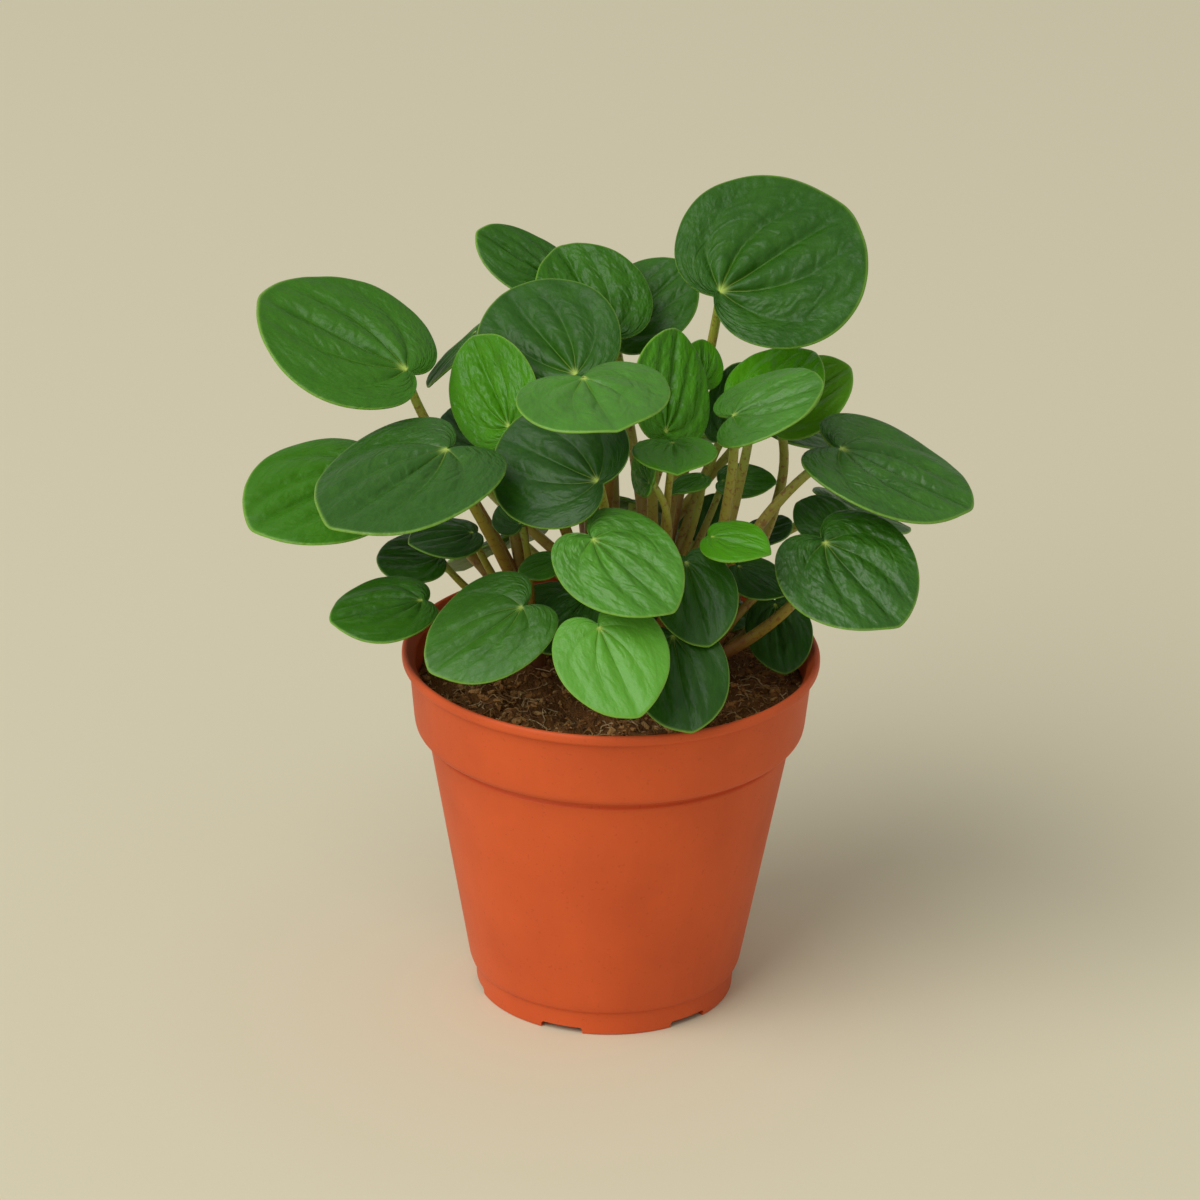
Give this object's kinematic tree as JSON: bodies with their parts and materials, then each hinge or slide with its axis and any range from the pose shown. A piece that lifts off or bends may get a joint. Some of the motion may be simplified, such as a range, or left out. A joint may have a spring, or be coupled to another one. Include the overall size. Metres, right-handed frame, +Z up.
{
  "type": "potted peperomia",
  "caption": "Potted peperomia with fleshy round heart-shaped leaves on petioles, peat soil and a round plastic nursery pot with a collar.",
  "frame": {"origin": "on the ground, in the middle of the pot's foot, which is the middle of the whole plant's outline", "axes": "+Z up, -Y towards the picture's camera side, +X to its right"},
  "size_m": [0.1813, 0.1342, 0.2029],
  "materials": {
    "pot": "satin terracotta-orange moulded plastic",
    "soil": "loose damp brown peat with fibres",
    "petiole": "fleshy stalk, red-brown at the base to olive green",
    "blade_mature": "satin fleshy leaf, deep green with recessed veins",
    "blade_pale": "satin fleshy leaf, greyish mid green with recessed veins",
    "blade_young": "glossy young leaf, bright green and quilted"
  },
  "bodies": {
    "root": {"pot": "pot", "soil": "soil", "stems_left": "petiole", "stems_middle": "petiole", "stems_right": "petiole", "stems_outer": "petiole", "stems_back": "petiole", "leaf_01": "blade_mature", "leaf_02": "blade_pale", "leaf_03": "blade_mature", "leaf_04": "blade_mature", "leaf_05": "blade_mature", "leaf_06": "blade_mature", "leaf_07": "blade_pale", "leaf_08": "blade_mature", "leaf_09": "blade_mature", "leaf_10": "blade_mature", "leaf_11": "blade_young", "leaf_12": "blade_pale", "leaf_13": "blade_pale", "leaf_14": "blade_mature", "leaf_15": "blade_mature", "leaf_16": "blade_young", "leaf_17": "blade_mature", "leaf_18": "blade_mature", "leaf_19": "blade_young", "leaf_20": "blade_young", "leaf_21": "blade_mature", "leaf_22": "blade_pale", "leaf_23": "blade_young", "leaf_24": "blade_mature", "leaf_25": "blade_pale", "leaf_26": "blade_pale", "leaf_27": "blade_mature", "leaf_28": "blade_young", "leaf_29": "blade_young", "leaf_30": "blade_mature", "leaf_31": "blade_mature", "leaf_32": "blade_mature", "leaf_33": "blade_mature", "leaf_34": "blade_mature", "leaf_35": "blade_pale", "leaf_36": "blade_mature", "leaf_37": "blade_mature", "leaf_38": "blade_young", "leaf_39": "blade_young", "leaf_40": "blade_young", "leaf_41": "blade_mature", "leaf_42": "blade_mature", "leaf_43": "blade_mature", "leaf_44": "blade_mature", "leaf_45": "blade_pale", "leaf_46": "blade_mature", "leaf_47": "blade_mature", "leaf_48": "blade_young", "leaf_49": "blade_young", "leaf_50": "blade_mature", "leaf_51": "blade_mature", "leaf_52": "blade_mature", "leaf_53": "blade_mature"}
  },
  "joints": []
}
